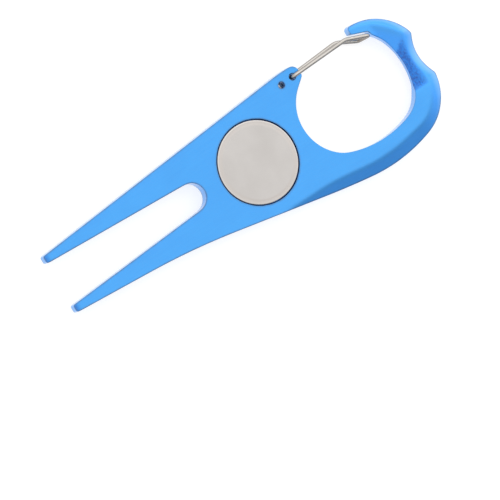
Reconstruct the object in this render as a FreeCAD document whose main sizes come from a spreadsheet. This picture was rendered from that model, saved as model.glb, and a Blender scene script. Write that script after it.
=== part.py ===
import FreeCAD, Part

import math
import os

import Sketcher

# Divot repair tool: a forked aluminium plate whose far end is a hook-shaped loop closed by a
# sprung wire gate, with a steel ball marker held by a magnet in a round pocket.
#
# Every body is drawn with its datum on the ball marker's axis, midway through the plate:
# +X runs from the prongs to the loop, +Y to the side with the gate, +Z out of the marker's face.
# Each sub-part's Placement then moves the datum so that the origin of the part is the middle of
# the underside of its bounding box, with the tool lying flat, marker upwards.

DIMENSIONS = {
    # Place of the datum in the part's frame
    "datum_x": 4.68,
    "datum_y": 1.862,
    "datum_z": 3.4,
    # Plate and fork, symmetric about an axis a little to the gate's side of the marker
    "plate_thick": 4.0,
    "fork_axis_y": 1.81,
    "fork_half_width": 14.77,
    "fork_taper": 4.42,
    "fork_tip_x": -69.9,
    "fork_tip_round": 0.75,
    "slot_half_width": 2.98,
    "slot_taper": 3.28,
    "slot_end_x": -18.15,
    "slot_end_round": 4.2,
    "tip_bevel_length": 1.3,
    "tip_bevel_angle": 22.0,
    # Hollow ground slopes round the hook
    "rim_bevel_angle": 17.0,
    "rim_bevel_reach": 7.0,
    "facet_start_angle": 12.0,
    "facet_angle": 10.0,
    "scoop_angle": 14.0,
    "scoop_ridge_x": 58.2,
    "scoop_end_angle": 28.0,
    "scoop_end_x": 57.2,
    "scoop_end_y": -8.0,
    "inner_slope_reach": 9.0,
    # Ball marker, its pocket and the magnet under it
    "marker_dia": 24.5,
    "marker_thick": 1.7,
    "marker_edge_round": 0.35,
    "marker_rim_width": 1.3,
    "marker_rim_drop": 0.05,
    "pocket_dia": 25.1,
    "pocket_depth": 1.75,
    "magnet_dia": 10.0,
    "magnet_thick": 1.2,
    "magnet_chamfer": 0.15,
    "magnet_seat_dia": 10.2,
    # Wire gate
    "wire_dia": 1.2,
    "wire_gap": 0.2,
    "hole_dia": 1.9,
    "hole_front_x": 22.45,
    "hole_front_y": 15.13,
    "hole_rear_x": 18.35,
    "hole_rear_y": 14.78,
    "wire_end_front_z": -0.6,
    "wire_end_rear_z": -0.4,
    "wire_hole_bend": 1.0,
    "wire_nose_bend": 4.0,
    "wire_tip_bend": 0.9,
}

# Corners of the outline from the fork's slope round the hook, each with the radius that rounds
# it. The straight flanks of the fork come from the dimensions above.
HOOK_CORNERS = [
    ("ear_slope", 19.0, 17.96, 20.0),
    ("ear_top", 25.02, 18.02, 2.4),
    ("ear_foot", 25.37, 13.95, 1.3),
    ("loop_left_high", 17.05, 7.51, 13.6),
    ("loop_left_low", 17.05, -5.42, 14.2),
    ("loop_low_left", 23.4, -11.42, 10.8),
    ("loop_bottom", 35.8, -15.72, 32.0),
    ("loop_low_right", 51.1, -11.12, 10.0),
    ("loop_right", 54.65, 0.48, 21.5),
    ("loop_high_right", 52.1, 10.28, 11.0),
    ("seat_heel", 49.7, 12.58, 0.5),
    ("seat_corner", 49.3, 14.08, 0.8),
    ("nose_under", 44.3, 15.93, 0.5),
    ("nose_top", 44.3, 18.38, 1.1),
    ("crown", 51.0, 17.78, 15.6),
    ("shoulder", 58.55, 12.33, 15.6),
    ("notch_high", 60.6, 6.93, 0.6),
    ("notch", 56.9, 0.33, 12.7),
    ("notch_low", 60.55, -6.32, 0.8),
    ("corner_right", 59.65, -11.67, 15.6),
    ("corner_low", 53.5, -18.67, 15.6),
    ("keel", 38.1, -23.00, 50.0),
    ("keel_slope", 19.5, -20.32, 280.0),
    ("fork_bend", -30.56, -10.48, 230.0),
]

# Ridge between the flat face and the slope that runs out to the rim, along the keel, round the
# lower corner and past the notch; it starts and ends beyond the plate.
KEEL_RIDGE = [
    ("keel_ridge_start", -8.0, -16.12, 0.0),
    ("keel_ridge_leave", 16.0, -16.12, 60.0),
    ("keel_ridge_low", 34.5, -18.7, 50.0),
    ("keel_ridge_corner", 51.4, -15.75, 11.0),
    ("keel_ridge_right", 56.5, -9.72, 10.0),
    ("keel_ridge_rise", 56.6, -5.12, 4.0),
    ("notch_ridge", 54.3, 1.48, 10.5),
    ("keel_ridge_end", 61.0, 15.08, 0.0),
]

# The same ridge on the crown, from beyond the nose to beyond the notch's upper point.
CROWN_RIDGE = [
    ("crown_ridge_start", 38.0, 17.28, 0.0),
    ("crown_ridge_high", 51.95, 17.35, 15.5),
    ("crown_ridge_low", 61.2, 2.9, 0.0),
]

# Ridge of the facet under the crown, which dips to the loop's inside. The facet starts along a
# line from the gate's seat and ends at the deeper scoop behind the notch, which dips the same way.
FACET_RIDGE = [("facet_seat", 48.6, 12.08), ("facet_ridge_start", 50.6, 16.0),
               ("facet_ridge_end", 58.0, 8.85)]

# Centre line of the wire, as it leaves the front hole, passes in front of the nose, turns back
# under it and returns behind the plate; both holes end the line.
WIRE_NOSE = [("wire_front_bend", 41.7, 15.75), ("wire_front_tip", 48.8, 13.02),
             ("wire_rear_tip", 46.7, 13.0), ("wire_rear_bend", 40.6, 16.13)]


def make_sheet(doc):
    """Driving dimensions, one alias a row: plain numbers, in millimetres and degrees."""
    sheet = doc.addObject("Spreadsheet::Sheet", "dimensions")
    rows = dict(DIMENSIONS)
    for corner in HOOK_CORNERS + KEEL_RIDGE + CROWN_RIDGE:
        name, x, y, radius = corner
        rows[name + "_x"] = x
        rows[name + "_y"] = y
        rows[name + "_radius"] = radius
    for corner in FACET_RIDGE + WIRE_NOSE:
        name, x, y = corner
        rows[name + "_x"] = x
        rows[name + "_y"] = y
    for row, (alias, value) in enumerate(rows.items(), start=1):
        sheet.set(f"A{row}", alias)
        sheet.set(f"B{row}", str(value))
        sheet.setAlias(f"B{row}", alias)
    doc.recompute()
    return sheet


def place_on_datum(part):
    """Binds a sub-part's position to the datum cells."""
    for axis in "xyz":
        part.setExpression(f".Placement.Base.{axis}", f"dimensions.datum_{axis}")


def origin_plane(body, role):
    """One of a body's own origin planes, such as XY_Plane."""
    return next(f for f in body.Origin.OriginFeatures if f.Role == role)


def add_sketch(body, name, role, offset=None):
    """A sketch on one of the body's origin planes, moved by an optional placement."""
    sketch = body.newObject("Sketcher::SketchObject", name)
    sketch.AttachmentSupport = [(origin_plane(body, role), "")]
    sketch.MapMode = "FlatFace"
    if offset:
        sketch.AttachmentOffset = offset
    return sketch


def add_circle(sketch, diameter_alias, x_alias=None, y_alias=None):
    """A circle whose diameter, and centre if given, follow the sheet."""
    circle = Part.Circle(FreeCAD.Vector(0, 0, 0), FreeCAD.Vector(0, 0, 1), 1.0)
    index = sketch.addGeometry(circle, False)
    rules = [(Sketcher.Constraint("Diameter", index, 2.0), diameter_alias)]
    if x_alias:
        rules.append((Sketcher.Constraint("DistanceX", -1, 1, index, 3, 1.0), x_alias))
        rules.append((Sketcher.Constraint("DistanceY", -1, 1, index, 3, 1.0), y_alias))
    else:
        sketch.addConstraint(Sketcher.Constraint("Coincident", index, 3, -1, 1))
    for constraint, alias in rules:
        number = sketch.addConstraint(constraint)
        sketch.setExpression(f"Constraints[{number}]", f"dimensions.{alias}")


def rounded_path(corners, closed):
    """Straight lines through the corners, each corner (point, radius) rounded by a tangent arc."""
    count = len(corners)
    pieces = []
    ends = []
    for i, (point, radius) in enumerate(corners):
        if not closed and i in (0, count - 1):
            ends.append((point, point, None))
            continue
        before = (corners[i - 1][0] - point).normalize()
        after = (corners[(i + 1) % count][0] - point).normalize()
        half = before.getAngle(after) / 2
        reach = radius / math.tan(half)
        middle = point + (before + after).normalize() * (radius / math.sin(half) - radius)
        ends.append((point + before * reach, point + after * reach, middle))
    for i, (start, stop, middle) in enumerate(ends):
        if middle:
            pieces.append(Part.Arc(start, middle, stop))
        if closed or i < count - 1:
            following = ends[(i + 1) % count][0]
            pieces.append(Part.LineSegment(stop, following))
    return pieces


def corners_of(sheet, rows):
    """Corners of a flat path as (point, radius), read from the sheet."""
    corners = []
    for name, *_ in rows:
        point = FreeCAD.Vector(sheet.get(name + "_x"), sheet.get(name + "_y"), 0)
        corners.append((point, sheet.get(name + "_radius")))
    return corners


def outline_corners(sheet):
    """The whole outline: the hook's own corners, then the prongs and the slot between them."""
    axis_y = sheet.fork_axis_y
    tip_x = sheet.fork_tip_x
    flank_rise = math.tan(math.radians(sheet.fork_taper))
    slot_rise = math.tan(math.radians(sheet.slot_taper))
    flank = sheet.fork_half_width + flank_rise * tip_x
    slot_at_tip = sheet.slot_half_width - slot_rise * tip_x
    slot_at_end = sheet.slot_half_width - slot_rise * sheet.slot_end_x
    fork = [
        (tip_x, -flank, sheet.fork_tip_round),
        (tip_x, -slot_at_tip, sheet.fork_tip_round),
        (sheet.slot_end_x, -slot_at_end, sheet.slot_end_round),
        (sheet.slot_end_x, slot_at_end, sheet.slot_end_round),
        (tip_x, slot_at_tip, sheet.fork_tip_round),
        (tip_x, flank, sheet.fork_tip_round),
    ]
    prongs = [(FreeCAD.Vector(x, axis_y + y, 0), radius) for x, y, radius in fork]
    return corners_of(sheet, HOOK_CORNERS) + prongs


def add_plate(body, sheet):
    """The plate itself, padded to both sides of its middle plane."""
    sketch = add_sketch(body, "outline", "XY_Plane")
    for piece in rounded_path(outline_corners(sheet), closed=True):
        sketch.addGeometry(piece, False)
    pad = body.newObject("PartDesign::Pad", "plate")
    pad.Profile = sketch
    pad.setExpression("Length", "dimensions.plate_thick")
    pad.Midplane = True
    return pad


def add_rim_bevel(body, sheet, name, rows, outward):
    """A slope from a ridge down to the rim: a wedge swept along the ridge.

    outward is +1 where the rim lies to +Y of the ridge's first point and -1 to -Y."""
    path = add_sketch(body, name + "_ridge", "XY_Plane")
    for piece in rounded_path(corners_of(sheet, rows), closed=False):
        path.addGeometry(piece, False)
    start_x = sheet.get(rows[0][0] + "_x")
    start_y = sheet.get(rows[0][0] + "_y")
    face = sheet.plate_thick / 2
    reach = sheet.rim_bevel_reach
    drop = reach * math.tan(math.radians(sheet.rim_bevel_angle))
    clear = 1.0
    wedge = [
        FreeCAD.Vector(start_y, face, 0),
        FreeCAD.Vector(start_y + outward * reach, face - drop, 0),
        FreeCAD.Vector(start_y + outward * reach, face + clear, 0),
        FreeCAD.Vector(start_y, face + clear, 0),
    ]
    at_start = FreeCAD.Placement(FreeCAD.Vector(0, 0, start_x), FreeCAD.Rotation())
    profile = add_sketch(body, name + "_wedge", "YZ_Plane", at_start)
    for i, corner in enumerate(wedge):
        profile.addGeometry(Part.LineSegment(corner, wedge[(i + 1) % len(wedge)]), False)
    pipe = body.newObject("PartDesign::SubtractivePipe", name)
    pipe.Profile = profile
    pipe.Spine = path
    return pipe


def add_slope(body, name, slope, face, corners):
    """Planes off the face above a slope (hinge, direction, angle).

    The hinge is a point of the line where the slope leaves the face, the direction is the way
    that line runs with the dip on its left, and the corners are given in plan."""
    hinge, direction, angle = slope
    turn = FreeCAD.Rotation(FreeCAD.Vector(1, 0, 0), direction)
    dip = FreeCAD.Rotation(FreeCAD.Vector(1, 0, 0), -angle)
    offset = FreeCAD.Placement(FreeCAD.Vector(hinge.x, hinge.y, face), turn.multiply(dip))
    sketch = add_sketch(body, name + "_plan", "XY_Plane", offset)
    stretch = 1 / math.cos(math.radians(angle))
    plan = []
    for corner in corners:
        along = turn.inverted().multVec(corner - hinge)
        plan.append(FreeCAD.Vector(along.x, along.y * stretch, 0))
    for i, corner in enumerate(plan):
        sketch.addGeometry(Part.LineSegment(corner, plan[(i + 1) % len(plan)]), False)
    pocket = body.newObject("PartDesign::Pocket", name)
    pocket.Profile = sketch
    pocket.Length = face
    pocket.Reversed = True
    return pocket


def plan_points(sheet, rows):
    """Corners without a radius, read from the sheet."""
    return [FreeCAD.Vector(sheet.get(n + "_x"), sheet.get(n + "_y"), 0) for n, *_ in rows]


def meeting_end(corner, first, second, reach):
    """Far end of the line along which two slopes that share a corner are equally deep."""
    falls = []
    for _, direction, angle in (first, second):
        left = FreeCAD.Vector(-direction.y, direction.x, 0)
        falls.append(left * math.tan(math.radians(angle)))
    difference = falls[0] - falls[1]
    line = FreeCAD.Vector(-difference.y, difference.x, 0).normalize()
    return corner + line * math.copysign(reach, line.dot(falls[0]))


def add_inner_slopes(body, sheet):
    """The hollow on the loop's side of the hook: a facet under the crown and a deeper scoop
    behind the notch, each with a short slope at its end, all dipping from one bent ridge."""
    seat, start, end = plan_points(sheet, FACET_RIDGE)
    ridge = (start - end).normalize()
    crossing = end + ridge * ((sheet.scoop_ridge_x - end.x) / ridge.x)
    scoop_end = FreeCAD.Vector(sheet.scoop_end_x, sheet.scoop_end_y, 0)
    loop_side = scoop_end - FreeCAD.Vector(sheet.inner_slope_reach, 0, 0)
    corners = [seat, start, crossing, scoop_end, loop_side]
    names = ["facet_start", "facet", "scoop", "scoop_end"]
    slopes = []
    for name, first, second in zip(names, corners, corners[1:]):
        slopes.append((first, (first - second).normalize(), sheet.get(name + "_angle")))
    far = [seat]
    for corner, before, after in zip(corners[1:], slopes, slopes[1:]):
        far.append(meeting_end(corner, before, after, sheet.inner_slope_reach))
    far.append(loop_side)
    made = []
    for i, name in enumerate(names):
        plan = [corners[i], corners[i + 1], far[i + 1], far[i]]
        plan = [p for k, p in enumerate(plan) if (p - plan[k - 1]).Length > 0]
        made.append(add_slope(body, name, slopes[i], sheet.plate_thick / 2, plan))
    return made


def add_tip_bevels(body, sheet):
    """A short slope that thins both prongs at their ends."""
    face = sheet.plate_thick / 2
    start_x = sheet.fork_tip_x + sheet.tip_bevel_length
    end_x = sheet.fork_tip_x - 1
    half = sheet.fork_half_width
    corners = [FreeCAD.Vector(x, y, 0) for x, y in
               [(start_x, -half), (start_x, half), (end_x, half), (end_x, -half)]]
    slope = (FreeCAD.Vector(start_x, 0, 0), FreeCAD.Vector(0, 1, 0), sheet.tip_bevel_angle)
    return add_slope(body, "tip_bevel", slope, face, corners)


def add_mirrored(body, originals):
    """Repeats features of the front face on the back."""
    mirrored = body.newObject("PartDesign::Mirrored", "back_slopes")
    mirrored.Originals = originals
    mirrored.MirrorPlane = (origin_plane(body, "XY_Plane"), [""])
    body.Tip = mirrored
    return mirrored


def add_round_pocket(body, name, top_z, circle_alias, depth_expression):
    """A flat-bottomed round pocket on the marker's axis, cut down from top_z."""
    raised = FreeCAD.Placement(FreeCAD.Vector(0, 0, top_z), FreeCAD.Rotation())
    sketch = add_sketch(body, name + "_circle", "XY_Plane", raised)
    add_circle(sketch, circle_alias)
    pocket = body.newObject("PartDesign::Pocket", name)
    pocket.Profile = sketch
    pocket.setExpression("Length", depth_expression)
    return pocket


def add_wire_holes(body):
    """The two holes through the ear that the ends of the gate's wire sit in."""
    sketch = add_sketch(body, "wire_hole_circles", "XY_Plane")
    add_circle(sketch, "hole_dia", "hole_front_x", "hole_front_y")
    add_circle(sketch, "hole_dia", "hole_rear_x", "hole_rear_y")
    holes = body.newObject("PartDesign::Pocket", "wire_holes")
    holes.Profile = sketch
    holes.Type = "ThroughAll"
    holes.Midplane = True
    return holes


def make_tool_body(doc, sheet):
    """The one-piece fork and hook."""
    body = doc.addObject("PartDesign::Body", "tool_body")
    body.Label = "tool_body"
    add_plate(body, sheet)
    slopes = [
        add_rim_bevel(body, sheet, "keel_bevel", KEEL_RIDGE, outward=-1),
        add_rim_bevel(body, sheet, "crown_bevel", CROWN_RIDGE, outward=1),
    ]
    slopes += add_inner_slopes(body, sheet)
    slopes.append(add_tip_bevels(body, sheet))
    add_mirrored(body, slopes)
    front = sheet.plate_thick / 2
    add_round_pocket(body, "marker_pocket", front, "pocket_dia", "dimensions.pocket_depth")
    floor = front - sheet.pocket_depth
    add_round_pocket(body, "magnet_seat", floor, "magnet_seat_dia", "dimensions.magnet_thick")
    body.Tip = add_wire_holes(body)
    place_on_datum(body)
    return body


def make_ball_marker(doc, sheet):
    """A round steel disc, turned: flat face, faint fall towards the rim, rounded edges."""
    body = doc.addObject("PartDesign::Body", "ball_marker")
    body.Label = "ball_marker"
    radius = sheet.marker_dia / 2
    edge = sheet.marker_edge_round
    floor = sheet.plate_thick / 2 - sheet.pocket_depth
    bottom = floor + (sheet.pocket_depth - sheet.marker_thick)
    top = bottom + sheet.marker_thick
    rim_top = top - sheet.marker_rim_drop
    flat = radius - edge - sheet.marker_rim_width
    diagonal = edge * (1 - math.sqrt(0.5))
    sketch = add_sketch(body, "marker_section", "XZ_Plane")
    corner = {
        "axis_low": FreeCAD.Vector(0, bottom, 0),
        "low": FreeCAD.Vector(radius - edge, bottom, 0),
        "low_mid": FreeCAD.Vector(radius - diagonal, bottom + diagonal, 0),
        "low_side": FreeCAD.Vector(radius, bottom + edge, 0),
        "high_side": FreeCAD.Vector(radius, rim_top - edge, 0),
        "high_mid": FreeCAD.Vector(radius - diagonal, rim_top - diagonal, 0),
        "high": FreeCAD.Vector(radius - edge, rim_top, 0),
        "flat": FreeCAD.Vector(flat, top, 0),
        "axis_high": FreeCAD.Vector(0, top, 0),
    }
    pieces = [
        Part.LineSegment(corner["axis_low"], corner["low"]),
        Part.Arc(corner["low"], corner["low_mid"], corner["low_side"]),
        Part.LineSegment(corner["low_side"], corner["high_side"]),
        Part.Arc(corner["high_side"], corner["high_mid"], corner["high"]),
        Part.LineSegment(corner["high"], corner["flat"]),
        Part.LineSegment(corner["flat"], corner["axis_high"]),
        Part.LineSegment(corner["axis_high"], corner["axis_low"]),
    ]
    for piece in pieces:
        sketch.addGeometry(piece, False)
    turned = body.newObject("PartDesign::Revolution", "marker_disc")
    turned.Profile = sketch
    turned.ReferenceAxis = (sketch, ["V_Axis"])
    body.Tip = turned
    place_on_datum(body)
    return body


def make_magnet(doc, sheet):
    """A chamfered disc magnet that fills its seat up to the pocket's floor."""
    body = doc.addObject("PartDesign::Body", "magnet")
    body.Label = "magnet"
    floor = sheet.plate_thick / 2 - sheet.pocket_depth
    raised = FreeCAD.Placement(FreeCAD.Vector(0, 0, floor - sheet.magnet_thick), FreeCAD.Rotation())
    sketch = add_sketch(body, "magnet_circle", "XY_Plane", raised)
    add_circle(sketch, "magnet_dia")
    pad = body.newObject("PartDesign::Pad", "magnet_disc")
    pad.Profile = sketch
    pad.setExpression("Length", "dimensions.magnet_thick")
    doc.recompute()
    chamfer = body.newObject("PartDesign::Chamfer", "magnet_edges")
    circles = [f"Edge{i}" for i, edge in enumerate(pad.Shape.Edges, start=1) if edge.isClosed()]
    chamfer.Base = (pad, circles)
    chamfer.setExpression("Size", "dimensions.magnet_chamfer")
    body.Tip = chamfer
    place_on_datum(body)
    return body


def wire_route(sheet):
    """Corners of the gate's centre line, with the radius of each bend."""
    leg_z = (sheet.plate_thick + sheet.wire_dia) / 2 + sheet.wire_gap
    front = (sheet.hole_front_x, sheet.hole_front_y)
    rear = (sheet.hole_rear_x, sheet.hole_rear_y)
    nose = [(point.x, point.y) for point in plan_points(sheet, WIRE_NOSE)]
    stops = [
        (front, sheet.wire_end_front_z, 0),
        (front, leg_z, sheet.wire_hole_bend),
        (nose[0], leg_z, sheet.wire_nose_bend),
        (nose[1], leg_z, sheet.wire_tip_bend),
        (nose[2], -leg_z, sheet.wire_tip_bend),
        (nose[3], -leg_z, sheet.wire_nose_bend),
        (rear, -leg_z, sheet.wire_hole_bend),
        (rear, sheet.wire_end_rear_z, 0),
    ]
    return [(FreeCAD.Vector(x, y, z), radius) for (x, y), z, radius in stops]


def make_wire_gate(doc, sheet):
    """One length of round spring wire, bent to a flattened U."""
    pieces = rounded_path(wire_route(sheet), closed=False)
    spine = Part.Wire([piece.toShape() for piece in pieces])
    start = spine.Vertexes[0].Point
    section = Part.Circle(start, FreeCAD.Vector(0, 0, 1), sheet.wire_dia / 2)
    ring = Part.Wire([section.toShape()])
    solid = spine.makePipeShell([ring], True, False)
    expected = math.pi * sheet.wire_dia ** 2 / 4 * spine.Length
    if abs(solid.Volume / expected - 1) > 0.01:
        raise RuntimeError(f"wire volume {solid.Volume:.2f}, expected {expected:.2f}")
    gate = doc.addObject("Part::Feature", "wire_gate")
    gate.Label = "wire_gate"
    gate.Shape = solid
    place_on_datum(gate)
    return gate


def check_cuts(body, sheet):
    """Stops unless every cut takes material off, and each round one the amount it should."""
    pocket = math.pi / 4 * sheet.pocket_dia ** 2 * sheet.pocket_depth
    seat = math.pi / 4 * sheet.magnet_seat_dia ** 2 * sheet.magnet_thick
    holes = 2 * math.pi / 4 * sheet.hole_dia ** 2 * sheet.plate_thick
    expected = {"marker_pocket": pocket, "magnet_seat": seat, "wire_holes": holes}
    for feature in body.Group:
        base = getattr(feature, "BaseFeature", None)
        if base is None:
            continue
        removed = base.Shape.Volume - feature.Shape.Volume
        print(f"{feature.Name} removes {removed:.2f} mm3")
        wanted = expected.get(feature.Name)
        if removed <= 0 or wanted and abs(removed / wanted - 1) > 0.01:
            raise RuntimeError(f"{feature.Name} removes {removed:.2f} mm3, expected {wanted}")


def check_document(doc, parts):
    """Stops on any failed feature or unsound shape."""
    for item in doc.Objects:
        if "Invalid" in item.State or "Error" in item.State:
            raise RuntimeError(f"{item.Label}: {item.State}")
    for part in parts:
        if part.Shape.isNull() or not part.Shape.isValid() or len(part.Shape.Solids) != 1:
            raise RuntimeError(f"{part.Label}: unsound shape")


def main():
    doc = FreeCAD.newDocument("divot_repair_tool")
    sheet = make_sheet(doc)
    parts = [
        make_tool_body(doc, sheet),
        make_wire_gate(doc, sheet),
        make_ball_marker(doc, sheet),
        make_magnet(doc, sheet),
    ]
    doc.recompute()
    check_cuts(parts[0], sheet)
    check_document(doc, parts)
    os.makedirs("parts", exist_ok=True)
    whole = FreeCAD.BoundBox()
    for part in parts:
        part.Shape.exportStep(f"parts/{part.Label}.step")
        whole.add(part.Shape.BoundBox)
        print(f"{part.Label}: {part.Shape.Volume:.1f} mm3")
    print(f"box {whole}")


main()
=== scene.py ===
import math

import bmesh
import bpy
import numpy as np
from mathutils import Matrix, Vector, geometry, noise
from mathutils.bvhtree import BVHTree
from mathutils.kdtree import KDTree


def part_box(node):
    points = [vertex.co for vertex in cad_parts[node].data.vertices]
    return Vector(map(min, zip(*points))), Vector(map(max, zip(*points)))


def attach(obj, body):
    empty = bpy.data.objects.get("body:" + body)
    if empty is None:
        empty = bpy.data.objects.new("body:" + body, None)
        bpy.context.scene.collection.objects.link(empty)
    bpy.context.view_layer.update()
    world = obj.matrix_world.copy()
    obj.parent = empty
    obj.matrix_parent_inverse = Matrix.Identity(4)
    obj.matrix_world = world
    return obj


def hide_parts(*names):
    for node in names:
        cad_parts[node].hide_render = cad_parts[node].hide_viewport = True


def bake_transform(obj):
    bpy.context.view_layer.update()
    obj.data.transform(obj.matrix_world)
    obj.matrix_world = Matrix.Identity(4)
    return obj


# The looks of a divot repair tool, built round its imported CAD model: one fine-meshed skin for
# the anodised plate, the sprung wire gate, the ball marker and the magnet under it.
# Shapes are worked out in millimetres and turned into metres as each mesh is made. Names that
# end in _M hold metres: the floor, the light and the camera's clipping distances.

MM = 0.001

# Camera: its own axes in the part's frame, its lens, the width it sees at the marker's face,
# and how far that face's middle lies to the right of and above the middle of the view
CAMERA_RIGHT = Vector((0.790, -0.526, 0.3125))
CAMERA_UP = Vector((0.520, 0.846, 0.110))
LENS = 1600.0
SENSOR = 36.0
VIEW_WIDTH = 142.86
MARKER_IN_VIEW = (2.32, 25.06)
CLIP_M = (0.1, 40.0)

# Skin of the plate: the plate's thickness between its flat faces, the spacing of points along
# an outline and over a face, and how far the face's own points keep from its rims' rings
PLATE_THICK = 4.0
OUTLINE_STEP = 0.2
GRID_STEP = 0.4
GRID_CLEARANCE = 0.22

# Smoothing of an outline: how many points apart its directions are compared, the turn in
# radians that marks a corner, the passes that widen the corners, and those that smooth the rest
TURN_REACH = 5
CORNER_TURN = 0.35
CORNER_PASSES = 4
FAIRING_PASSES = 40

# Rims: how far in the innermost ring lies, the radius of the rounded edge and the steps across
# it, the rows down the wall, and the passes that smooth the height and the slope along a rim
SUPPORT_INSET = 0.35
RIM_ROUND = 0.2
RIM_SEGMENTS = 4
WALL_ROWS = 7
HEIGHT_PASSES = 3
SLOPE_PASSES = 6

# Height of a face: how far off the middle plane the rays start, the height below which a hit
# is the pocket's floor and not the face, and the circles of points over which a height is
# averaged, as their radii, the opposite pairs on each, and its turn in degrees per millimetre
RAY_START = 10
LEAST_HEIGHT = 0.3
RIDGE_SOFTNESS = (0.3, 0.6)
CIRCLE_PAIRS = 3
CIRCLE_TURN = 50

# Scoop and slopes: the lean of the CAD surface that tells the scoop's floor and its end from
# the other slopes, the depths at which the scoop's dark tone with its painted shade and the slopes'
# deeper painted blue are full, and how rough the scoop's floor is, with the closeness of its coarse and
# fine grain along x and y
SCOOP_LEAN = -0.19
SCOOP_END_LEAN = 0.35
SCOOP_FULL_DEPTH = 0.6
SLOPE_FULL_DEPTH = 0.4
SCOOP_ROUGHNESS = 0.015
COARSE_GRAIN = (1.6, 0.9)
FINE_GRAIN = (3.0, 2.0)
FINE_GRAIN_SHARE = 0.6

# Pocket and magnet's seat: the radius of the pocket's upper edge and of the corner at its
# floor, the height of a ring on its wall, the seat's play round and under the magnet, and the
# chamfer at its top. A hole further along x from the marker's axis than this goes right through
POCKET_EDGE = 0.12
POCKET_CORNER = 0.1
POCKET_WALL_RING = 1.0
SEAT_PLAY = 0.1
SEAT_BELOW = 0.02
SEAT_CHAMFER = 0.1
THROUGH_HOLE_X = 5

# Painted shade and highlight on the edges: how far the painted dark line reaches in from every
# rim, and the wider painted highlight band along the hook's outer rim, which fades in over a stretch of
# x from the datum and is widest at the end
EDGE_SHADE_REACH = 0.5
PALE_START = (43.0, 50.0)
PALE_SIDE = Vector((0.95, 0.3))
PALE_REACH = (0.9, 1.6)

# The loop's middle from the datum, how far its inner rim lies from it at most, and how little
# painted shade the dark line along that rim gets
LOOP_MIDDLE = Vector((35.8, 0.5))
LOOP_REACH = 22.0
LOOP_EDGE_SHADE = 0.35

# Ball marker and magnet: the radius of their edges, the marker's slightly lower rim band with
# a ring on it, the step up from the band, and the radii over which its rim band's tone changes and its
# edge's painted highlight fades in
TURNED_SIDES = 256
MARKER_EDGE = 0.33
MARKER_RIM_DROP = 0.05
MARKER_RIM_WIDTH = 1.3
MARKER_RIM_RING = 0.6
MARKER_STEP_HALF = 0.15
MARKER_STEP_SAG = 0.004
MARKER_STEP_RING = 0.4
RIM_TONE_RADII = (10.5, 10.9)
EDGE_HIGHLIGHT_RADII = (11.75, 11.95)
MAGNET_EDGE = 0.15

# Wire gate: its route about the datum, as corners (x, y, z, radius of the bend), a stretch
# of x about the datum meant for the change from the ear's motion to the gate's, which the wire's code
# reads but does not use, and its mesh
WIRE_RADIUS = 0.6
WIRE_LEG_Z = 2.8
WIRE_ROUTE = [
    (22.45, 15.13, -0.6, 0),
    (22.45, 15.13, WIRE_LEG_Z, 1.0),
    (41.7, 15.75, WIRE_LEG_Z, 4.0),
    (48.8, 13.02, WIRE_LEG_Z, 0.9),
    (46.7, 13.0, -WIRE_LEG_Z, 0.9),
    (40.6, 16.13, -WIRE_LEG_Z, 4.0),
    (18.35, 14.78, -WIRE_LEG_Z, 1.0),
    (18.35, 14.78, -0.4, 0),
]
WIRE_FLEX = (18.65, 24.9)
WIRE_STEP = 0.25
WIRE_BEND_STEPS = 14
WIRE_SIDES = 32
WIRE_END_ROUND = 0.12

# Studio: the directions of the sky's bright and dim sides, its level away from both and on the
# bright side, and the share that is left of it on the dim side
BRIGHT_SIDE = Vector((0.65, 0.30, 0.70))
DIM_SIDE = Vector((0.10, -1.0, 0.20))
PLAIN_SURROUND = 1.0
BRIGHT_SURROUND = 1.24
DIM_SHARE = 0.31

# The long light: the directions to its middle and of its length, its distance, length and
# width, and its power. Then the floor's half width and how much it glows
KEY_SPAN = (Vector((0.60, 0.21, 0.77)), Vector((0.47, -0.54, -0.22)))
KEY_DISTANCE_M = 1.2
KEY_SIZE_M = (1.1, 0.35)
KEY_POWER = 0.35
FLOOR_HALF_M = 3.0
FLOOR_GLOW = 0.73


def node_box(name):
    """Lowest and highest corner of a CAD node, in millimetres."""
    low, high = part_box(name)
    return low / MM, high / MM


def find_datum():
    """The marker's axis, midway through the plate: the point the CAD dimensions start from."""
    magnet_low, magnet_high = node_box("magnet")
    plate_low, plate_high = node_box("tool_body")
    axis = (magnet_low + magnet_high) / 2
    return Vector((axis.x, axis.y, (plate_low.z + plate_high.z) / 2))


def make_camera(target):
    """A long-lens camera that looks at the tool from above, a little from the prongs' side."""
    right = CAMERA_RIGHT.normalized()
    up = (CAMERA_UP - right * CAMERA_UP.dot(right)).normalized()
    back = right.cross(up)
    data = bpy.data.cameras.new("camera")
    data.lens = LENS
    data.sensor_width = SENSOR
    data.clip_start, data.clip_end = CLIP_M
    camera = bpy.data.objects.new("camera", data)
    distance = VIEW_WIDTH * LENS / SENSOR
    place = target - right * MARKER_IN_VIEW[0] - up * MARKER_IN_VIEW[1] + back * distance
    turn = Matrix((right, up, back)).transposed().to_4x4()
    camera.matrix_world = Matrix.Translation(place * MM) @ turn
    bpy.context.scene.collection.objects.link(camera)
    bpy.context.scene.camera = camera


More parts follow.
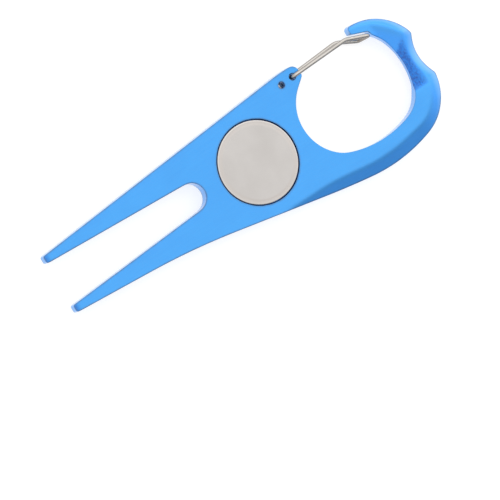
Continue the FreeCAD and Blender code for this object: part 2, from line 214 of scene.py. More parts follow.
class Shape:
    """Points and faces of one piece as they are put together, in millimetres."""

    def __init__(self):
        self.points = []
        self.faces = []
        self.marks = {}

    def add(self, points, **marks):
        """Adds points and gives their numbers; marks are values kept for the material."""
        first = len(self.points)
        self.points.extend(tuple(p) for p in points)
        numbers = list(range(first, len(self.points)))
        for name, values in marks.items():
            values = [values] * len(numbers) if isinstance(values, float) else values
            self.marks.setdefault(name, {}).update(zip(numbers, values))
        return numbers

    def bridge(self, ring, other):
        """Quads between two rings of as many points."""
        count = len(ring)
        for i in range(count):
            j = (i + 1) % count
            self.faces.append((ring[i], ring[j], other[j], other[i]))

    def strip(self, rings):
        """Bridges each ring to the one after it."""
        for ring, other in zip(rings, rings[1:]):
            self.bridge(ring, other)

    def fan(self, ring, centre):
        """Closes a ring with triangles to one point."""
        for i, a in enumerate(ring):
            self.faces.append((a, ring[(i + 1) % len(ring)], centre))

    def make(self, name, material, sharp_angle=40.0):
        """The finished object, smooth but for edges sharper than the angle."""
        mesh = bpy.data.meshes.new(name)
        scaled = [(x * MM, y * MM, z * MM) for x, y, z in self.points]
        mesh.from_pydata(scaled, [], self.faces)
        for mark, values in self.marks.items():
            attribute = mesh.attributes.new(mark, "FLOAT", "POINT")
            column = [float(values.get(i, 0.0)) for i in range(len(self.points))]
            attribute.data.foreach_set("value", column)
        bm = bmesh.new()
        bm.from_mesh(mesh)
        bmesh.ops.recalc_face_normals(bm, faces=bm.faces)
        bm.to_mesh(mesh)
        bm.free()
        mesh.shade_smooth()
        mesh.set_sharp_from_angle(angle=math.radians(sharp_angle))
        mesh.materials.append(material)
        piece = bpy.data.objects.new(name, mesh)
        bpy.context.scene.collection.objects.link(piece)
        return piece


def welded_mesh(node):
    """A CAD node's mesh in millimetres with its split vertices joined."""
    bm = bmesh.new()
    bm.from_mesh(node.data)
    bmesh.ops.transform(bm, matrix=Matrix.Scale(1 / MM, 4), verts=bm.verts)
    bmesh.ops.remove_doubles(bm, verts=bm.verts, dist=0.001)
    return bm


def section_loops(node, height):
    """The closed curves in which a level plane cuts a node, as arrays of plan points."""
    bm = welded_mesh(node)
    parts = bm.verts[:] + bm.edges[:] + bm.faces[:]
    cut = bmesh.ops.bisect_plane(bm, geom=parts, plane_co=(0, 0, height), plane_no=(0, 0, 1))
    beside = {}
    for edge in cut["geom_cut"]:
        if isinstance(edge, bmesh.types.BMEdge):
            a, b = edge.verts
            beside.setdefault(a, []).append(b)
            beside.setdefault(b, []).append(a)
    loops = []
    seen = set()
    for start in beside:  # in the order of the cut, so that every run gives the same curves
        if start in seen:
            continue
        loop = [start]
        before, here = start, beside[start][0]
        while here is not start:
            loop.append(here)
            before, here = here, next(v for v in beside[here] if v is not before)
        seen.update(loop)
        loops.append(np.array([(v.co.x, v.co.y) for v in loop]))
    bm.free()
    return sorted(loops, key=lambda loop: -abs(signed_area(loop)))


def signed_area(loop):
    """Area inside a closed curve, positive where the curve runs anticlockwise."""
    x, y = loop.T
    return 0.5 * float(np.sum(x * np.roll(y, -1) - y * np.roll(x, -1)))


def resampled(loop, step):
    """The same closed curve with evenly spaced points."""
    ring = np.vstack([loop, loop[:1]])
    along = np.concatenate([[0], np.cumsum(np.hypot(*np.diff(ring, axis=0).T))])
    count = int(round(along[-1] / step))
    at = np.arange(count) * along[-1] / count
    return np.column_stack([np.interp(at, along, ring[:, axis]) for axis in (0, 1)])


def blurred(values, passes):
    """Values along a closed curve, each pass mixed with its two neighbours."""
    for _ in range(passes):
        beside = (np.roll(values, 1, axis=0) + np.roll(values, -1, axis=0)) / 2
        values = (values + beside) / 2
    return values


def fair_loop(loop, solid_inside):
    """The curve with its wide arcs made smooth, its tight corners kept and the solid on its left."""
    loop = resampled(loop, OUTLINE_STEP)
    if (signed_area(loop) > 0) != solid_inside:
        loop = loop[::-1]
    ahead = np.roll(loop, -TURN_REACH, axis=0) - loop
    behind = loop - np.roll(loop, TURN_REACH, axis=0)
    cross = behind[:, 0] * ahead[:, 1] - behind[:, 1] * ahead[:, 0]
    turning = np.abs(np.arctan2(cross, np.sum(behind * ahead, axis=1)))
    free = blurred((turning < CORNER_TURN).astype(float), CORNER_PASSES)[:, None]
    for _ in range(FAIRING_PASSES):
        beside = (np.roll(loop, 1, axis=0) + np.roll(loop, -1, axis=0)) / 2
        loop = loop + free * (beside - loop) / 2
    return loop


def inward(loop):
    """Unit vectors at a loop's points that point into the solid."""
    along = np.roll(loop, -1, axis=0) - np.roll(loop, 1, axis=0)
    along /= np.hypot(*along.T)[:, None]
    return np.column_stack([-along[:, 1], along[:, 0]])


def painted_highlight_band(x, outward, inset):
    """How strong the painted highlight on the hook's outer rim is, from 1 on the rim to 0 where the
    pale band ends.
    """
    start, full = PALE_START
    along = min(max((x - start) / (full - start), 0.0), 1.0)
    facing = max(0.0, PALE_SIDE.dot(outward))
    reach = PALE_REACH[0] + PALE_REACH[1] * max(0.0, outward.x) ** 4
    return along * facing * max(0.0, 1.0 - inset / reach)


def rim_shade_strength(place, outward):
    """How strong the painted dark shade line along a rim is: full on the outside, less round the inside
    of the loop.
    """
    to_middle = LOOP_MIDDLE - place
    inside = to_middle.dot(outward) > 0 and to_middle.length < LOOP_REACH
    return LOOP_EDGE_SHADE if inside else 1.0


class Side:
    """One side of the plate: its height above the middle plane, softened across the ridges."""

    def __init__(self, tree, datum, sign):
        self.tree = tree
        self.datum = datum
        self.sign = sign
        self.face = PLATE_THICK / 2

    def hit(self, x, y):
        """Height of the face at a point and how far it lies in the scoop, or None off the face."""
        start = Vector((x, y, self.datum.z + RAY_START * self.sign))
        place, normal, _, _ = self.tree.ray_cast(start, Vector((0, 0, -self.sign)))
        if place is None:
            return None
        height = (place.z - self.datum.z) * self.sign
        if height < LEAST_HEIGHT:
            return None
        # The scoop's floor takes the scoop mark, which carries its painted shade and its pits.
        ground = normal.x < SCOOP_LEAN or normal.y > SCOOP_END_LEAN
        depth = self.face - height
        return height, min(depth / SCOOP_FULL_DEPTH, 1.0) if ground else 0.0

    def at(self, x, y):
        """Softened height, and how far the point lies in the scoop from 0 to 1."""
        middle = self.hit(x, y)
        if middle is None:
            return None
        heights = [middle[0]] * 2
        scooped = [middle[1]] * 2
        for reach in RIDGE_SOFTNESS:
            for pair_number in range(CIRCLE_PAIRS):
                angle = math.radians(180 / CIRCLE_PAIRS * pair_number + CIRCLE_TURN * reach)
                dx, dy = reach * math.cos(angle), reach * math.sin(angle)
                pair = [self.hit(x + dx, y + dy), self.hit(x - dx, y - dy)]
                if None in pair:
                    pair = [middle, middle]
                heights += [p[0] for p in pair]
                scooped += [p[1] for p in pair]
        return sum(heights) / len(heights), sum(scooped) / len(scooped)

    def sloped(self, height):
        """How far points lie down the slopes, from 0 on the flat face to 1 at the full depth."""
        return list(np.clip((self.face - height) / SLOPE_FULL_DEPTH, 0.0, 1.0))

    def along(self, loop):
        """Heights and scoop marks along a loop; a point that misses takes its neighbour's."""
        found = [self.at(x, y) for x, y in loop]
        known = next(f for f in found if f)
        for i, value in enumerate(found):
            known = value or known
            found[i] = known
        return np.array(found).T


def rim_rings(shape, side, loop, rounding):
    """Rings from the face over the rounded edge to the top of the wall, outermost last."""
    normals = inward(loop)
    height, scoop = side.along(loop + normals * SUPPORT_INSET)
    deeper, _ = side.along(loop + normals * 2 * SUPPORT_INSET)
    height = blurred(height, HEIGHT_PASSES)
    slope = blurred((height - deeper) / SUPPORT_INSET, SLOPE_PASSES)
    stations = [(SUPPORT_INSET, 0.0)]
    for k in range(RIM_SEGMENTS + 1):
        angle = math.radians(90 * k / RIM_SEGMENTS)
        stations.append((rounding * (1 - math.sin(angle)), rounding * (1 - math.cos(angle))))
    spots = [(Vector(point) - side.datum.xy, -Vector(n)) for point, n in zip(loop, normals)]
    shade_strengths = [rim_shade_strength(place, outward) for place, outward in spots]
    rings = []
    for inset, drop in stations:
        plan = loop + normals * inset
        level = height + slope * (SUPPORT_INSET - inset) - drop
        z = side.datum.z + side.sign * level
        # Painted highlight: the pale band along the hook's outer rim.
        pale = [painted_highlight_band(place.x, outward, inset) for place, outward in spots]
        # Painted shade: the dark line along every rim.
        edge = [shade_strength * (1.0 - inset / EDGE_SHADE_REACH) for shade_strength in shade_strengths]
        marks = {"edge": edge, "scoop": list(scoop), "pale": pale, "slope": side.sloped(height)}
        rings.append(shape.add(np.column_stack([plan, z]), **marks))
    shape.strip(rings)
    return rings


def triangle_edges(triangle):
    """The three edges of a triangle, each with its lower number first."""
    a, b, c = triangle
    return [(min(a, b), max(a, b)), (min(b, c), max(b, c)), (min(c, a), max(c, a))]


def within_borders(triangles, borders, border_points):
    """The triangles reached from those with a grid point, without crossing a border."""
    touching = {}
    for number, triangle in enumerate(triangles):
        for edge in triangle_edges(triangle):
            touching.setdefault(edge, []).append(number)
    walls = {(min(edge), max(edge)) for edge in borders}
    reached = {n for n, triangle in enumerate(triangles) if max(triangle) >= border_points}
    waiting = list(reached)
    while waiting:
        for edge in triangle_edges(triangles[waiting.pop()]):
            if edge not in walls:
                new = [n for n in touching[edge] if n not in reached]
                reached.update(new)
                waiting.extend(new)
    return [triangles[n] for n in sorted(reached)]


def grid_points(side, rings, normals):
    """Evenly spread points of the face that keep clear of its rings, with heights and marks."""
    corners = np.vstack(rings)
    pointing = np.vstack(normals)
    near = KDTree(len(corners))
    for i, (x, y) in enumerate(corners):
        near.insert((x, y, 0), i)
    near.balance()
    low, high = corners.min(axis=0), corners.max(axis=0)
    row_step = GRID_STEP * math.sqrt(3) / 2
    plan, height, scoop, pale = [], [], [], []
    for row in range(int((high[1] - low[1]) / row_step) + 1):
        y = low[1] + row * row_step
        for column in range(int((high[0] - low[0]) / GRID_STEP) + 1):
            x = low[0] + (column + row % 2 / 2) * GRID_STEP
            place, number, distance = near.find((x, y, 0))
            inward_x, inward_y = pointing[number]
            depth = (x - place.x) * inward_x + (y - place.y) * inward_y
            if distance < GRID_CLEARANCE or depth < 0:
                continue
            found = side.at(x, y)
            if found:
                plan.append((x, y))
                height.append(found[0])
                scoop.append(found[1])
                outward = -Vector(pointing[number])
                # Painted highlight on the hook's outer rim reaches onto the face here.
                pale.append(painted_highlight_band(x - side.datum.x, outward, distance + SUPPORT_INSET))
    return np.array(plan), np.array(height), np.array(scoop), pale


def scoop_grain(x, y):
    """Uneven, ground-looking relief of the scoop's floor, from two slices of the noise."""
    coarse = noise.noise(Vector((x * COARSE_GRAIN[0], y * COARSE_GRAIN[1], 0.0)))
    fine = noise.noise(Vector((x * FINE_GRAIN[0], y * FINE_GRAIN[1], 7.0)))
    return coarse + FINE_GRAIN_SHARE * fine


def fill_face(shape, side, rims, loops):
    """The face between the rims' first rings: a fine triangle mesh at the side's height."""
    rings = [loop + inward(loop) * SUPPORT_INSET for loop in loops]
    plan, height, scoop, pale = grid_points(side, rings, [inward(loop) for loop in loops])
    relief = np.array([scoop_grain(x, y) for x, y in plan])
    height = height + SCOOP_ROUGHNESS * relief * scoop
    z = side.datum.z + side.sign * height
    marks = {"scoop": list(scoop), "pale": pale, "slope": side.sloped(height)}
    numbers = shape.add(np.column_stack([plan, z]), **marks)
    borders = []
    first = 0
    for ring in rings:
        count = len(ring)
        borders += [(first + i, first + (i + 1) % count) for i in range(count)]
        first += count
    owner = [n for rim in rims for n in rim[0]] + numbers
    flat = np.vstack(rings + [plan])
    made = geometry.delaunay_2d_cdt([Vector(p) for p in flat], borders, [], 0, 1e-6, True)
    _, _, triangles, origins, _, _ = made
    source = [origin[0] for origin in origins]
    triangles = [tuple(source[corner] for corner in triangle) for triangle in triangles]
    for triangle in within_borders(triangles, borders, first):
        shape.faces.append(tuple(owner[corner] for corner in triangle))


def join_walls(shape, front, back):
    """Wall rows between the last rings of the two rims of one loop."""
    top = np.array([shape.points[n] for n in front[-1]])
    bottom = np.array([shape.points[n] for n in back[-1]])
    rings = [front[-1]]
    for row in range(1, WALL_ROWS):
        share = row / WALL_ROWS
        rings.append(shape.add(top + (bottom - top) * share))
    rings.append(back[-1])
    shape.strip(rings)


def add_pocket(shape, rim, datum):
    """The marker's pocket below its rim, with the magnet's seat in the middle of its floor."""
    wall = np.array([shape.points[n] for n in rim[-1]])
    magnet_low, magnet_high = node_box("magnet")
    floor = magnet_high.z
    seat_floor = magnet_low.z - SEAT_BELOW
    seat_radius = (magnet_high.x - magnet_low.x) / 2 + SEAT_PLAY
    middle = np.array(datum.xy)
    radius = float(np.hypot(*(wall[:, :2] - middle).T).mean())
    half_round = POCKET_CORNER * 0.3  # how far the middle of the corner's arc lies off wall and floor
    stations = [
        (radius, floor + POCKET_WALL_RING),
        (radius, floor + POCKET_CORNER),
        (radius - half_round, floor + half_round),
        (radius - POCKET_CORNER, floor),
        (radius * 0.7, floor),
        (seat_radius + SEAT_CHAMFER, floor),
        (seat_radius, floor - SEAT_CHAMFER),
        (seat_radius, seat_floor),
        (seat_radius * 0.5, seat_floor),
    ]
    rings = [rim[-1]]
    for size, z in stations:
        ring = middle + (wall[:, :2] - middle) * size / radius
        rings.append(shape.add(np.column_stack([ring, np.full(len(ring), z)])))
    shape.strip(rings)
    centre = shape.add([(datum.x, datum.y, seat_floor)])
    shape.fan(rings[-1], centre[0])


def make_skin(node, datum, material):
    """The plate's surface: both faces with soft ridges, rounded edges, walls, pocket and holes."""
    bm = welded_mesh(node)
    tree = BVHTree.FromBMesh(bm)
    bm.free()
    front, back = Side(tree, datum, 1), Side(tree, datum, -1)
    outline, *others = section_loops(node, datum.z)
    holes = [loop for loop in others if (loop.mean(axis=0) - datum.xy)[0] > THROUGH_HOLE_X]
    through = [fair_loop(outline, True)] + [fair_loop(hole, False) for hole in holes]
    marker_low, marker_high = node_box("ball_marker")
    pocket = section_loops(node, (marker_low.z + marker_high.z) / 2)[1]
    pocket = fair_loop(pocket, False)
    shape = Shape()
    front_rims = [rim_rings(shape, front, loop, RIM_ROUND) for loop in through]
    back_rims = [rim_rings(shape, back, loop, RIM_ROUND) for loop in through]
    for front_rim, back_rim in zip(front_rims, back_rims):
        join_walls(shape, front_rim, back_rim)
    pocket_rim = rim_rings(shape, front, pocket, POCKET_EDGE)
    add_pocket(shape, pocket_rim, datum)
    fill_face(shape, front, front_rims + [pocket_rim], through + [pocket])
    fill_face(shape, back, back_rims, through)
    skin = shape.make("plate_skin", material)
    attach(skin, "tool")
    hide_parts("tool_body")


def turned(name, material, axis, profile, sharp_angle):
    """A round piece: a profile of (radius, height) turned about an upright axis."""
    shape = Shape()
    turns = [2 * math.pi * i / TURNED_SIDES for i in range(TURNED_SIDES)]
    rings = []
    for radius, z in profile[1:-1]:
        ring = [(axis.x + radius * math.cos(a), axis.y + radius * math.sin(a), z) for a in turns]
        rings.append(shape.add(ring, radial=radius))
    shape.strip(rings)
    for ring, (_, z) in ((rings[0], profile[0]), (rings[-1], profile[-1])):
        centre = shape.add([(axis.x, axis.y, z)], radial=0.0)
        shape.fan(ring, centre[0])
    return shape.make(name, material, sharp_angle)


def rounded_corner(radius, z, size, upper, steps=5):
    """Profile points of a rounded outer edge, going out for a lower edge and in for an upper."""
    points = []
    for k in range(steps + 1):
        angle = math.radians(90 * k / steps)
        if upper:
            out, rise = math.cos(angle), math.sin(angle)
            points.append((radius - size + size * out, z - size + size * rise))
        else:
            out, rise = math.sin(angle), math.cos(angle)
            points.append((radius - size + size * out, z + size - size * rise))
    return points


def make_marker(material):
    """The ball marker: a thin steel disc with rounded edges and a slightly lower rim band."""
    low, high = node_box("ball_marker")
    axis = (low + high) / 2
    radius = (high.x - low.x) / 2
    rim_top = high.z - MARKER_RIM_DROP
    profile = [(0, low.z), (radius * 0.5, low.z)]
    profile += rounded_corner(radius, low.z, MARKER_EDGE, upper=False)
    profile += rounded_corner(radius, rim_top, MARKER_EDGE, upper=True)
    profile += [(radius - MARKER_RIM_RING, rim_top)]
    band = radius - MARKER_RIM_WIDTH
    profile += [(band + MARKER_STEP_HALF, rim_top), (band - MARKER_STEP_HALF, high.z - MARKER_STEP_SAG)]
    profile += [(band - MARKER_STEP_RING, high.z), (radius * 0.6, high.z), (radius * 0.3, high.z)]
    profile += [(0, high.z)]
    marker = turned("marker_disc", material, axis, profile, sharp_angle=60)
    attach(marker, "marker")
    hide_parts("ball_marker")


def make_magnet(material):
    """The plated disc magnet in its seat."""
    low, high = node_box("magnet")
    axis = (low + high) / 2
    radius = (high.x - low.x) / 2
    profile = [(0, low.z), (radius * 0.5, low.z)]
    profile += rounded_corner(radius, low.z, MAGNET_EDGE, upper=False)
    profile += rounded_corner(radius, high.z, MAGNET_EDGE, upper=True)
    profile += [(radius * 0.5, high.z), (0, high.z)]
    magnet = turned("magnet_disc", material, axis, profile, sharp_angle=60)
    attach(magnet, "tool")
    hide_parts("magnet")


def wire_line(datum):
    """The wire's centre line as close points, its corners rounded by arcs."""
    corners = [(Vector(corner[:3]) + datum, corner[3]) for corner in WIRE_ROUTE]
    line = [corners[0][0]]
    for i in range(1, len(corners) - 1):
        point, radius = corners[i]
        before = (corners[i - 1][0] - point).normalized()
        after = (corners[i + 1][0] - point).normalized()
        half = before.angle(after) / 2
        centre = point + (before + after).normalized() * radius / math.sin(half)
        start = point + before * radius / math.tan(half) - centre
        stop = point + after * radius / math.tan(half) - centre
        for k in range(WIRE_BEND_STEPS + 1):
            line.append(centre + start.slerp(stop, k / WIRE_BEND_STEPS).normalized() * radius)
    line.append(corners[-1][0])
    return evenly_spaced(line, WIRE_STEP)


def evenly_spaced(line, step):
    """Points at even steps along a line of close points."""
    points = np.array(line)
    lengths = np.linalg.norm(np.diff(points, axis=0), axis=1)
    along = np.concatenate([[0], np.cumsum(lengths)])
    at = np.linspace(0, along[-1], int(along[-1] / step) + 1)
    return np.column_stack([np.interp(at, along, points[:, axis]) for axis in range(3)])


def make_wire(datum, material):
    """The gate: one piece of spring wire, cut square with slightly rounded ends."""
    line = wire_line(datum)
    shape = Shape()
    direction = np.gradient(line, axis=0)
    direction /= np.linalg.norm(direction, axis=1)[:, None]
    across = Vector((1, 0, 0))
    rings = []
    sizes = np.full(len(line), WIRE_RADIUS)
    sizes[[0, -1]] -= WIRE_END_ROUND
    for i, (point, heading) in enumerate(zip(line, direction)):
        heading = Vector(heading)
        across = (across - heading * across.dot(heading)).normalized()
        upward = heading.cross(across)
        ring, flank = [], []
        for k in range(WIRE_SIDES):
            angle = 2 * math.pi * k / WIRE_SIDES
            offset = across * math.cos(angle) + upward * math.sin(angle)
            ring.append(Vector(point) + offset * sizes[i])
            flank.append(math.hypot(offset.x, offset.y))
        rings.append(shape.add(ring, flank=flank))
    shape.strip(rings)
    for ring, point in ((rings[0], line[0]), (rings[-1], line[-1])):
        centre = shape.add([point])
        shape.fan(ring, centre[0])
    wire = shape.make("gate_wire", material, sharp_angle=50)
    start, stop = datum.copy(), datum.copy()
    start.x += WIRE_FLEX[0]
    stop.x += WIRE_FLEX[1]
    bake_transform(wire)
    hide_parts("wire_gate")


def new_material(name):
    """A node material and its shader."""
    material = bpy.data.materials.new(name)
    material.use_nodes = True
    return material, material.node_tree.nodes["Principled BSDF"]


def link_node(material, kind, inputs=None, **settings):
    """Adds a node, sets its properties, and fills its inputs with values or other sockets."""
    node = material.node_tree.nodes.new(kind)
    for key, value in settings.items():
        setattr(node, key, value)
    for key, value in (inputs or {}).items():
        if isinstance(value, bpy.types.NodeSocket):
            material.node_tree.links.new(value, node.inputs[key])
        else:
            node.inputs[key].default_value = value
    return node


def noise_value(material, size_mm, detail=3.0, stretch=(1, 1, 1)):
    """Noise in the part's own frame whose features are about size_mm wide."""
    place = link_node(material, "ShaderNodeTexCoord").outputs["Object"]
    scale = [s / (size_mm * MM) for s in stretch]
    mapped = link_node(material, "ShaderNodeMapping", {"Vector": place, "Scale": scale})
    inputs = {"Vector": mapped.outputs["Vector"], "Scale": 1.0, "Detail": detail}
    return link_node(material, "ShaderNodeTexNoise", inputs).outputs["Fac"]


def ramp(material, value, stops):
    """A colour ramp over a value; stops are (position, colour)."""
    node = link_node(material, "ShaderNodeValToRGB", {"Fac": value})
    elements = node.color_ramp.elements
    while len(elements) < len(stops):
        elements.new(0.5)
    for element, (position, colour) in zip(elements, stops):
        element.position = position
        element.color = (*colour, 1.0)
    return node.outputs["Color"]


def mix(material, share, first, second):
    """Mixes two colours by a share; the mix node has its share at 0 and its colours at 6 and 7."""
    node = link_node(material, "ShaderNodeMix", data_type="RGBA")
    for key, value in ((0, share), (6, first), (7, second)):
        if isinstance(value, bpy.types.NodeSocket):
            material.node_tree.links.new(value, node.inputs[key])
        elif key == 0:
            node.inputs[key].default_value = value
        else:
            node.inputs[key].default_value = (*value, 1.0)
    return node.outputs[2]


def remap(material, value, low, high, to_low, to_high):
    """Stretches a value from one range to another."""
    inputs = {"Value": value, "From Min": low, "From Max": high, "To Min": to_low, "To Max": to_high}
    return link_node(material, "ShaderNodeMapRange", inputs).outputs["Result"]


def attribute(material, name):
    """A value kept on the mesh."""
    return link_node(material, "ShaderNodeAttribute", attribute_name=name).outputs["Fac"]


def bump(material, value, height_mm, strength=1.0, normal=None):
    """A bump whose value of 1 stands height_mm proud."""
    inputs = {"Height": value, "Distance": height_mm * MM, "Strength": strength}
    if normal:
        inputs["Normal"] = normal
    return link_node(material, "ShaderNodeBump", inputs).outputs["Normal"]


def anodised_blue():
    """Satin blue anodised aluminium with a rough scoop; painted shade along its edges, on its slopes
    and in the scoop, and a painted highlight on the hook's outer rim.
    """
    material, shader = new_material("anodised_blue")
    links = material.node_tree.links
    cloud = noise_value(material, 9.0, 2.0)
    flat = ramp(material, cloud, [(0.3, (0.043, 0.335, 0.81)), (0.7, (0.047, 0.355, 0.84))])
    # Painted shade: the slopes get a deeper, more saturated blue than the flat face, standing in for
    # the white they reflect less of.
    painted_slope_blue = ramp(material, cloud, [(0.3, (0.039, 0.335, 0.955)), (0.7, (0.043, 0.355, 0.985))])
    tone = mix(material, attribute(material, "slope"), flat, painted_slope_blue)
    brushing = noise_value(material, 0.35, 3.0, stretch=(0.06, 1, 1))
    brushed = remap(material, brushing, 0.3, 0.7, 0.0, 0.14)
    tone = mix(material, brushed, tone, (0.020, 0.24, 0.78))
    edge_shade_breakup = remap(material, noise_value(material, 1.6, 3.0), 0.42, 0.62, 0.6, 1.0)
    mottle = noise_value(material, 0.45, 5.0, stretch=(1, 0.6, 1))
    # The scoop's floor: a darker, mottled blue for its rough ground grain, deepened by painted shade.
    ground = ramp(material, mottle, [(0.32, (0.001, 0.083, 0.41)), (0.64, (0.004, 0.195, 0.71))])
    scoop = attribute(material, "scoop")
    tone = mix(material, scoop, tone, ground)
    # Painted highlight: a paler, whiter blue along the hook's outer rim, on the side that faces the
    # bright sky.
    pale = remap(material, attribute(material, "pale"), 0.0, 1.0, 0.0, 0.75)
    tone = mix(material, pale, tone, (0.30, 0.56, 0.93))
    # Painted shade: a dark navy line along every rim, broken up by noise.
    edge_shade = remap(material, attribute(material, "edge"), 0.1, 0.7, 0.0, 0.95)
    edge_share = link_node(material, "ShaderNodeMath", {0: edge_shade, 1: edge_shade_breakup}, operation="MULTIPLY")
    tone = mix(material, edge_share.outputs[0], tone, (0.06, 0.18, 0.40))
    links.new(tone, shader.inputs["Base Color"])
    grain = noise_value(material, 0.22, 2.0)
    rough = remap(material, grain, 0.3, 0.7, 0.30, 0.38)
    links.new(rough, shader.inputs["Roughness"])
    fine = bump(material, grain, 0.004)
    pits = remap(material, mottle, 0.3, 0.7, 0.0, 1.0)
    pitted = link_node(material, "ShaderNodeMath", {0: pits, 1: scoop}, operation="MULTIPLY")
    rough_ground = bump(material, pitted.outputs[0], 0.05, normal=fine)
    links.new(rough_ground, shader.inputs["Normal"])
    shader.inputs["Metallic"].default_value = 1.0
    shader.inputs["Coat Weight"].default_value = 1.0
    shader.inputs["Coat Roughness"].default_value = 0.15
    shader.inputs["Coat IOR"].default_value = 1.5
    return material


def satin_steel():
    """Warm grey plated steel with a fine turned grain, a warmer rim band and a painted highlight round
    its edge.
    """
    material, shader = new_material("marker_steel")
    links = material.node_tree.links
    cloud = noise_value(material, 7.0, 2.0)
    tone = ramp(material, cloud, [(0.3, (0.525, 0.50, 0.48)), (0.7, (0.56, 0.535, 0.515))])
    radial = attribute(material, "radial")
    band = remap(material, radial, *RIM_TONE_RADII, 0.0, 0.5)
    tone = mix(material, band, tone, (0.57, 0.525, 0.49))
    # Painted highlight: a bright ring round the marker's edge.
    bright = remap(material, radial, *EDGE_HIGHLIGHT_RADII, 0.0, 0.6)
    tone = mix(material, bright, tone, (0.74, 0.71, 0.68))
    links.new(tone, shader.inputs["Base Color"])
    turns = link_node(material, "ShaderNodeTexNoise", {"W": radial, "Scale": 9.0, "Detail": 3.0},
                      noise_dimensions="1D").outputs["Fac"]
    grain = noise_value(material, 0.25, 2.0)
    both = link_node(material, "ShaderNodeMath", {0: turns, 1: grain}, operation="ADD")
    links.new(remap(material, grain, 0.3, 0.7, 0.30, 0.40), shader.inputs["Roughness"])
    links.new(bump(material, both.outputs[0], 0.003), shader.inputs["Normal"])
    shader.inputs["Metallic"].default_value = 1.0
    return material


def spring_wire():
    """Drawn stainless wire: bright, a little warm, streaked along its length, with painted shade on its
    flanks.
    """
    material, shader = new_material("spring_wire")
    links = material.node_tree.links
    streak = noise_value(material, 0.25, 3.0, stretch=(0.05, 1, 1))
    tone = ramp(material, streak, [(0.3, (0.48, 0.45, 0.415)), (0.7, (0.70, 0.67, 0.63))])
    # Painted shade: the wire's flanks turn a dark brown where its round surface turns from the light.
    flank_shade = remap(material, attribute(material, "flank"), 0.45, 0.9, 0.0, 0.75)
    tone = mix(material, flank_shade, tone, (0.20, 0.17, 0.15))
    links.new(tone, shader.inputs["Base Color"])
    links.new(remap(material, streak, 0.3, 0.7, 0.20, 0.32), shader.inputs["Roughness"])
    links.new(bump(material, streak, 0.004), shader.inputs["Normal"])
    shader.inputs["Metallic"].default_value = 1.0
    return material


def nickel_plate():
    """Bright nickel plating on the magnet."""
    material, shader = new_material("magnet_nickel")
    links = material.node_tree.links
    speck = noise_value(material, 0.4, 4.0)
    tone = ramp(material, speck, [(0.35, (0.62, 0.60, 0.56)), (0.65, (0.72, 0.70, 0.66))])
    links.new(tone, shader.inputs["Base Color"])
    links.new(remap(material, speck, 0.3, 0.7, 0.16, 0.28), shader.inputs["Roughness"])
    links.new(bump(material, speck, 0.003), shader.inputs["Normal"])
    shader.inputs["Metallic"].default_value = 1.0
    return material


def make_floor():
    """A plain pale floor under the tool, with a glow of its own and far wider than any view."""
    material, shader = new_material("pale_floor")
    cloud = noise_value(material, 60.0, 2.0)
    tone = ramp(material, cloud, [(0.3, (0.395, 0.395, 0.395)), (0.7, (0.41, 0.41, 0.41))])
    material.node_tree.links.new(tone, shader.inputs["Base Color"])
    shader.inputs["Emission Color"].default_value = (1.0, 1.0, 1.0, 1.0)
    shader.inputs["Emission Strength"].default_value = FLOOR_GLOW
    shader.inputs["Roughness"].default_value = 0.9
    shader.inputs["Specular IOR Level"].default_value = 0.1
    half = FLOOR_HALF_M
    mesh = bpy.data.meshes.new("floor")
    corners = [(-half, -half, 0), (half, -half, 0), (half, half, 0), (-half, half, 0)]
    mesh.from_pydata(corners, [], [(0, 1, 2, 3)])
    mesh.materials.append(material)
    floor = bpy.data.objects.new("floor", mesh)
    bpy.context.scene.collection.objects.link(floor)


def make_light(name, direction, along, distance, length, width, power):
    """A soft oblong light that faces the tool, its length turned towards a second direction."""
    data = bpy.data.lights.new(name, "AREA")
    data.shape = "RECTANGLE"
    data.size = length
    data.size_y = width
    data.energy = power
    light = bpy.data.objects.new(name, data)
    heading = direction.normalized()
    across = (along - heading * along.dot(heading)).normalized()
    turn = Matrix((across, heading.cross(across), heading)).transposed().to_4x4()
    light.matrix_world = Matrix.Translation(heading * distance) @ turn
    bpy.context.scene.collection.objects.link(light)


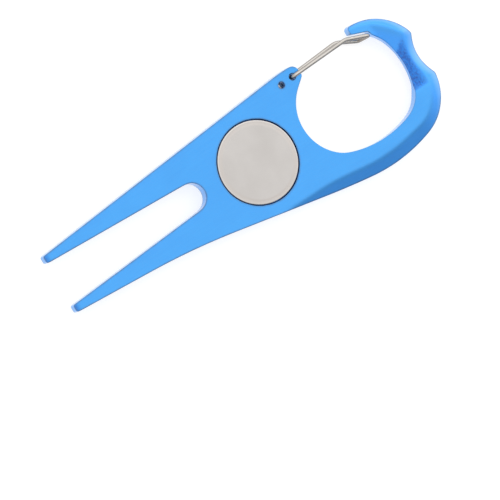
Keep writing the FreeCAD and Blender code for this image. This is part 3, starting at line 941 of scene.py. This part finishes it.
def sky_level(world, place, side, narrow, wide, low, high):
    """A smooth level over the sky: high up to narrow degrees from one side, low past wide degrees."""
    towards = link_node(world, "ShaderNodeVectorMath", {0: place, 1: side.normalized()},
                        operation="DOT_PRODUCT").outputs["Value"]
    inputs = {"Value": towards, "From Min": math.cos(math.radians(wide)),
              "From Max": math.cos(math.radians(narrow)), "To Min": low, "To Max": high}
    return link_node(world, "ShaderNodeMapRange", inputs,
                     interpolation_type="SMOOTHSTEP").outputs["Result"]


def make_studio():
    """A pale surround, brightest over the loop's side and dimmest behind the keel, and a long
    soft light over the hook."""
    scene = bpy.context.scene
    scene.view_settings.view_transform = "Standard"
    world = bpy.data.worlds.new("studio")
    world.use_nodes = True
    place = link_node(world, "ShaderNodeTexCoord").outputs["Generated"]
    bright = sky_level(world, place, BRIGHT_SIDE, narrow=0, wide=75,
                       low=PLAIN_SURROUND, high=BRIGHT_SURROUND)
    dim = sky_level(world, place, DIM_SIDE, narrow=10, wide=70, low=1.0, high=DIM_SHARE)
    level = link_node(world, "ShaderNodeMath", {0: bright, 1: dim}, operation="MULTIPLY")
    background = world.node_tree.nodes["Background"]
    background.inputs["Color"].default_value = (1.0, 1.0, 1.0, 1.0)
    world.node_tree.links.new(level.outputs[0], background.inputs["Strength"])
    scene.world = world
    make_light("key", *KEY_SPAN, KEY_DISTANCE_M, *KEY_SIZE_M, KEY_POWER)


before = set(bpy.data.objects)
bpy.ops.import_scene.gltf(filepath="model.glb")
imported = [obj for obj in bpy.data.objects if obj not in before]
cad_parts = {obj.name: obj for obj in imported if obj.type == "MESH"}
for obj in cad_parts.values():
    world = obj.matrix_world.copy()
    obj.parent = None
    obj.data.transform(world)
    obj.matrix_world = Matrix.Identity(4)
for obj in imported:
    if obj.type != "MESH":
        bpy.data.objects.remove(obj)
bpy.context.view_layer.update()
datum = find_datum()
marker_low, marker_high = node_box("ball_marker")
marker_centre = (marker_low + marker_high) / 2
make_camera(Vector((marker_centre.x, marker_centre.y, marker_high.z)))
make_skin(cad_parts["tool_body"], datum, anodised_blue())
make_wire(datum, spring_wire())
make_marker(satin_steel())
make_magnet(nickel_plate())
make_floor()
make_studio()
